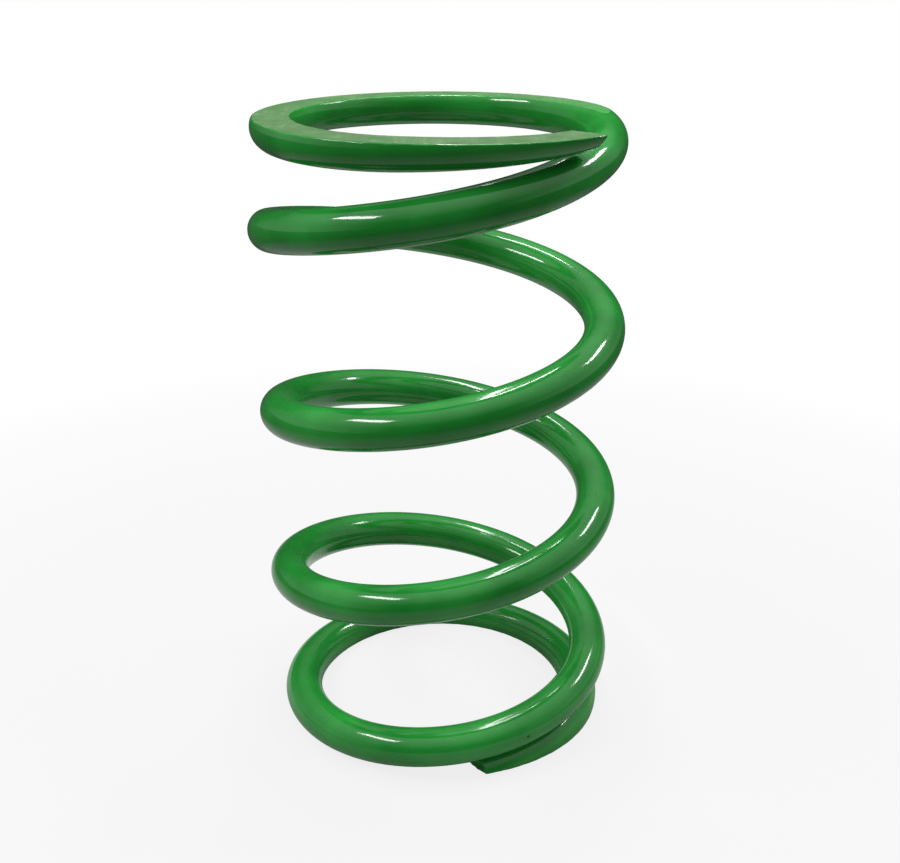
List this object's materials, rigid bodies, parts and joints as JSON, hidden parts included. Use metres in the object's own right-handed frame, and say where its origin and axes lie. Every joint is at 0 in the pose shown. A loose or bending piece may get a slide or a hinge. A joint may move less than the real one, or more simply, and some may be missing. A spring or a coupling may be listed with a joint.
{
  "type": "coil spring",
  "caption": "Right-hand wound helical compression spring of round wire with closed and ground flat ends, which shortens along its axis.",
  "frame": {"origin": "on the spring's axis, in the plane of the lower ground face", "axes": "+Z along the spring's axis, from the lower ground face to the upper one; the wire's lower tip points 16 degrees to the +X side of -Y"},
  "size_m": [0.1396, 0.1396, 0.2413],
  "materials": {
    "powder_coat": "gloss green powder coat over spring steel"
  },
  "bodies": {
    "lower_end_coil": {"lower_end_coil": "powder_coat"},
    "active_coil_1_arc_01": {"active_coil_1_arc_01": "powder_coat"},
    "active_coil_1_arc_02": {"active_coil_1_arc_02": "powder_coat"},
    "active_coil_1_arc_03": {"active_coil_1_arc_03": "powder_coat"},
    "active_coil_1_arc_04": {"active_coil_1_arc_04": "powder_coat"},
    "active_coil_1_arc_05": {"active_coil_1_arc_05": "powder_coat"},
    "active_coil_1_arc_06": {"active_coil_1_arc_06": "powder_coat"},
    "active_coil_1_arc_07": {"active_coil_1_arc_07": "powder_coat"},
    "active_coil_1_arc_08": {"active_coil_1_arc_08": "powder_coat"},
    "active_coil_1_arc_09": {"active_coil_1_arc_09": "powder_coat"},
    "active_coil_1_arc_10": {"active_coil_1_arc_10": "powder_coat"},
    "active_coil_1_arc_11": {"active_coil_1_arc_11": "powder_coat"},
    "active_coil_1_arc_12": {"active_coil_1_arc_12": "powder_coat"},
    "active_coil_2_arc_01": {"active_coil_2_arc_01": "powder_coat"},
    "active_coil_2_arc_02": {"active_coil_2_arc_02": "powder_coat"},
    "active_coil_2_arc_03": {"active_coil_2_arc_03": "powder_coat"},
    "active_coil_2_arc_04": {"active_coil_2_arc_04": "powder_coat"},
    "active_coil_2_arc_05": {"active_coil_2_arc_05": "powder_coat"},
    "active_coil_2_arc_06": {"active_coil_2_arc_06": "powder_coat"},
    "active_coil_2_arc_07": {"active_coil_2_arc_07": "powder_coat"},
    "active_coil_2_arc_08": {"active_coil_2_arc_08": "powder_coat"},
    "active_coil_2_arc_09": {"active_coil_2_arc_09": "powder_coat"},
    "active_coil_2_arc_10": {"active_coil_2_arc_10": "powder_coat"},
    "active_coil_2_arc_11": {"active_coil_2_arc_11": "powder_coat"},
    "active_coil_2_arc_12": {"active_coil_2_arc_12": "powder_coat"},
    "active_coil_3_arc_01": {"active_coil_3_arc_01": "powder_coat"},
    "active_coil_3_arc_02": {"active_coil_3_arc_02": "powder_coat"},
    "active_coil_3_arc_03": {"active_coil_3_arc_03": "powder_coat"},
    "active_coil_3_arc_04": {"active_coil_3_arc_04": "powder_coat"},
    "active_coil_3_arc_05": {"active_coil_3_arc_05": "powder_coat"},
    "active_coil_3_arc_06": {"active_coil_3_arc_06": "powder_coat"},
    "active_coil_3_arc_07": {"active_coil_3_arc_07": "powder_coat"},
    "active_coil_3_arc_08": {"active_coil_3_arc_08": "powder_coat"},
    "active_coil_3_arc_09": {"active_coil_3_arc_09": "powder_coat"},
    "active_coil_3_arc_10": {"active_coil_3_arc_10": "powder_coat"},
    "active_coil_3_arc_11": {"active_coil_3_arc_11": "powder_coat"},
    "active_coil_3_arc_12": {"active_coil_3_arc_12": "powder_coat"},
    "upper_end_coil": {"upper_end_coil": "powder_coat"}
  },
  "joints": [
    {"name": "compression", "type": "slide", "parent": "lower_end_coil", "child": "upper_end_coil", "axis": [0, 0, -1], "range_m": [0, 0.15], "stiffness_N_per_m": 83000},
    {"name": "active_coil_1_arc_01_drop", "type": "slide", "parent": "lower_end_coil", "child": "active_coil_1_arc_01", "axis": [0, 0, -1], "range_m": [0, 0.000823]},
    {"name": "active_coil_1_arc_02_drop", "type": "slide", "parent": "lower_end_coil", "child": "active_coil_1_arc_02", "axis": [0, 0, -1], "range_m": [0, 0.0045]},
    {"name": "active_coil_1_arc_03_drop", "type": "slide", "parent": "lower_end_coil", "child": "active_coil_1_arc_03", "axis": [0, 0, -1], "range_m": [0, 0.00858]},
    {"name": "active_coil_1_arc_04_drop", "type": "slide", "parent": "lower_end_coil", "child": "active_coil_1_arc_04", "axis": [0, 0, -1], "range_m": [0, 0.01285]},
    {"name": "active_coil_1_arc_05_drop", "type": "slide", "parent": "lower_end_coil", "child": "active_coil_1_arc_05", "axis": [0, 0, -1], "range_m": [0, 0.01714]},
    {"name": "active_coil_1_arc_06_drop", "type": "slide", "parent": "lower_end_coil", "child": "active_coil_1_arc_06", "axis": [0, 0, -1], "range_m": [0, 0.02142]},
    {"name": "active_coil_1_arc_07_drop", "type": "slide", "parent": "lower_end_coil", "child": "active_coil_1_arc_07", "axis": [0, 0, -1], "range_m": [0, 0.02571]},
    {"name": "active_coil_1_arc_08_drop", "type": "slide", "parent": "lower_end_coil", "child": "active_coil_1_arc_08", "axis": [0, 0, -1], "range_m": [0, 0.03]},
    {"name": "active_coil_1_arc_09_drop", "type": "slide", "parent": "lower_end_coil", "child": "active_coil_1_arc_09", "axis": [0, 0, -1], "range_m": [0, 0.03428]},
    {"name": "active_coil_1_arc_10_drop", "type": "slide", "parent": "lower_end_coil", "child": "active_coil_1_arc_10", "axis": [0, 0, -1], "range_m": [0, 0.03857]},
    {"name": "active_coil_1_arc_11_drop", "type": "slide", "parent": "lower_end_coil", "child": "active_coil_1_arc_11", "axis": [0, 0, -1], "range_m": [0, 0.04285]},
    {"name": "active_coil_1_arc_12_drop", "type": "slide", "parent": "lower_end_coil", "child": "active_coil_1_arc_12", "axis": [0, 0, -1], "range_m": [0, 0.04714]},
    {"name": "active_coil_2_arc_01_drop", "type": "slide", "parent": "lower_end_coil", "child": "active_coil_2_arc_01", "axis": [0, 0, -1], "range_m": [0, 0.05142]},
    {"name": "active_coil_2_arc_02_drop", "type": "slide", "parent": "lower_end_coil", "child": "active_coil_2_arc_02", "axis": [0, 0, -1], "range_m": [0, 0.05571]},
    {"name": "active_coil_2_arc_03_drop", "type": "slide", "parent": "lower_end_coil", "child": "active_coil_2_arc_03", "axis": [0, 0, -1], "range_m": [0, 0.06]},
    {"name": "active_coil_2_arc_04_drop", "type": "slide", "parent": "lower_end_coil", "child": "active_coil_2_arc_04", "axis": [0, 0, -1], "range_m": [0, 0.06428]},
    {"name": "active_coil_2_arc_05_drop", "type": "slide", "parent": "lower_end_coil", "child": "active_coil_2_arc_05", "axis": [0, 0, -1], "range_m": [0, 0.06857]},
    {"name": "active_coil_2_arc_06_drop", "type": "slide", "parent": "lower_end_coil", "child": "active_coil_2_arc_06", "axis": [0, 0, -1], "range_m": [0, 0.07286]},
    {"name": "active_coil_2_arc_07_drop", "type": "slide", "parent": "lower_end_coil", "child": "active_coil_2_arc_07", "axis": [0, 0, -1], "range_m": [0, 0.07714]},
    {"name": "active_coil_2_arc_08_drop", "type": "slide", "parent": "lower_end_coil", "child": "active_coil_2_arc_08", "axis": [0, 0, -1], "range_m": [0, 0.08143]},
    {"name": "active_coil_2_arc_09_drop", "type": "slide", "parent": "lower_end_coil", "child": "active_coil_2_arc_09", "axis": [0, 0, -1], "range_m": [0, 0.08571]},
    {"name": "active_coil_2_arc_10_drop", "type": "slide", "parent": "lower_end_coil", "child": "active_coil_2_arc_10", "axis": [0, 0, -1], "range_m": [0, 0.09]},
    {"name": "active_coil_2_arc_11_drop", "type": "slide", "parent": "lower_end_coil", "child": "active_coil_2_arc_11", "axis": [0, 0, -1], "range_m": [0, 0.09428]},
    {"name": "active_coil_2_arc_12_drop", "type": "slide", "parent": "lower_end_coil", "child": "active_coil_2_arc_12", "axis": [0, 0, -1], "range_m": [0, 0.09857]},
    {"name": "active_coil_3_arc_01_drop", "type": "slide", "parent": "lower_end_coil", "child": "active_coil_3_arc_01", "axis": [0, 0, -1], "range_m": [0, 0.10286]},
    {"name": "active_coil_3_arc_02_drop", "type": "slide", "parent": "lower_end_coil", "child": "active_coil_3_arc_02", "axis": [0, 0, -1], "range_m": [0, 0.10714]},
    {"name": "active_coil_3_arc_03_drop", "type": "slide", "parent": "lower_end_coil", "child": "active_coil_3_arc_03", "axis": [0, 0, -1], "range_m": [0, 0.11143]},
    {"name": "active_coil_3_arc_04_drop", "type": "slide", "parent": "lower_end_coil", "child": "active_coil_3_arc_04", "axis": [0, 0, -1], "range_m": [0, 0.11571]},
    {"name": "active_coil_3_arc_05_drop", "type": "slide", "parent": "lower_end_coil", "child": "active_coil_3_arc_05", "axis": [0, 0, -1], "range_m": [0, 0.12]},
    {"name": "active_coil_3_arc_06_drop", "type": "slide", "parent": "lower_end_coil", "child": "active_coil_3_arc_06", "axis": [0, 0, -1], "range_m": [0, 0.12429]},
    {"name": "active_coil_3_arc_07_drop", "type": "slide", "parent": "lower_end_coil", "child": "active_coil_3_arc_07", "axis": [0, 0, -1], "range_m": [0, 0.12857]},
    {"name": "active_coil_3_arc_08_drop", "type": "slide", "parent": "lower_end_coil", "child": "active_coil_3_arc_08", "axis": [0, 0, -1], "range_m": [0, 0.13286]},
    {"name": "active_coil_3_arc_09_drop", "type": "slide", "parent": "lower_end_coil", "child": "active_coil_3_arc_09", "axis": [0, 0, -1], "range_m": [0, 0.13714]},
    {"name": "active_coil_3_arc_10_drop", "type": "slide", "parent": "lower_end_coil", "child": "active_coil_3_arc_10", "axis": [0, 0, -1], "range_m": [0, 0.14143]},
    {"name": "active_coil_3_arc_11_drop", "type": "slide", "parent": "lower_end_coil", "child": "active_coil_3_arc_11", "axis": [0, 0, -1], "range_m": [0, 0.14572]},
    {"name": "active_coil_3_arc_12_drop", "type": "slide", "parent": "lower_end_coil", "child": "active_coil_3_arc_12", "axis": [0, 0, -1], "range_m": [0, 0.15]}
  ],
  "couplings": [
    {"joint": "active_coil_1_arc_01_drop", "follows": "compression", "ratio": 0.005475},
    {"joint": "active_coil_1_arc_02_drop", "follows": "compression", "ratio": 0.03001},
    {"joint": "active_coil_1_arc_03_drop", "follows": "compression", "ratio": 0.057212},
    {"joint": "active_coil_1_arc_04_drop", "follows": "compression", "ratio": 0.085668},
    {"joint": "active_coil_1_arc_05_drop", "follows": "compression", "ratio": 0.11424},
    {"joint": "active_coil_1_arc_06_drop", "follows": "compression", "ratio": 0.14281},
    {"joint": "active_coil_1_arc_07_drop", "follows": "compression", "ratio": 0.17139},
    {"joint": "active_coil_1_arc_08_drop", "follows": "compression", "ratio": 0.19996},
    {"joint": "active_coil_1_arc_09_drop", "follows": "compression", "ratio": 0.22853},
    {"joint": "active_coil_1_arc_10_drop", "follows": "compression", "ratio": 0.2571},
    {"joint": "active_coil_1_arc_11_drop", "follows": "compression", "ratio": 0.28568},
    {"joint": "active_coil_1_arc_12_drop", "follows": "compression", "ratio": 0.31425},
    {"joint": "active_coil_2_arc_01_drop", "follows": "compression", "ratio": 0.34282},
    {"joint": "active_coil_2_arc_02_drop", "follows": "compression", "ratio": 0.3714},
    {"joint": "active_coil_2_arc_03_drop", "follows": "compression", "ratio": 0.39997},
    {"joint": "active_coil_2_arc_04_drop", "follows": "compression", "ratio": 0.42854},
    {"joint": "active_coil_2_arc_05_drop", "follows": "compression", "ratio": 0.45711},
    {"joint": "active_coil_2_arc_06_drop", "follows": "compression", "ratio": 0.48569},
    {"joint": "active_coil_2_arc_07_drop", "follows": "compression", "ratio": 0.51426},
    {"joint": "active_coil_2_arc_08_drop", "follows": "compression", "ratio": 0.54283},
    {"joint": "active_coil_2_arc_09_drop", "follows": "compression", "ratio": 0.57141},
    {"joint": "active_coil_2_arc_10_drop", "follows": "compression", "ratio": 0.59998},
    {"joint": "active_coil_2_arc_11_drop", "follows": "compression", "ratio": 0.62855},
    {"joint": "active_coil_2_arc_12_drop", "follows": "compression", "ratio": 0.65713},
    {"joint": "active_coil_3_arc_01_drop", "follows": "compression", "ratio": 0.6857},
    {"joint": "active_coil_3_arc_02_drop", "follows": "compression", "ratio": 0.71427},
    {"joint": "active_coil_3_arc_03_drop", "follows": "compression", "ratio": 0.74284},
    {"joint": "active_coil_3_arc_04_drop", "follows": "compression", "ratio": 0.77142},
    {"joint": "active_coil_3_arc_05_drop", "follows": "compression", "ratio": 0.79999},
    {"joint": "active_coil_3_arc_06_drop", "follows": "compression", "ratio": 0.82856},
    {"joint": "active_coil_3_arc_07_drop", "follows": "compression", "ratio": 0.85714},
    {"joint": "active_coil_3_arc_08_drop", "follows": "compression", "ratio": 0.88571},
    {"joint": "active_coil_3_arc_09_drop", "follows": "compression", "ratio": 0.91428},
    {"joint": "active_coil_3_arc_10_drop", "follows": "compression", "ratio": 0.94285},
    {"joint": "active_coil_3_arc_11_drop", "follows": "compression", "ratio": 0.97143},
    {"joint": "active_coil_3_arc_12_drop", "follows": "compression", "ratio": 1}
  ]
}
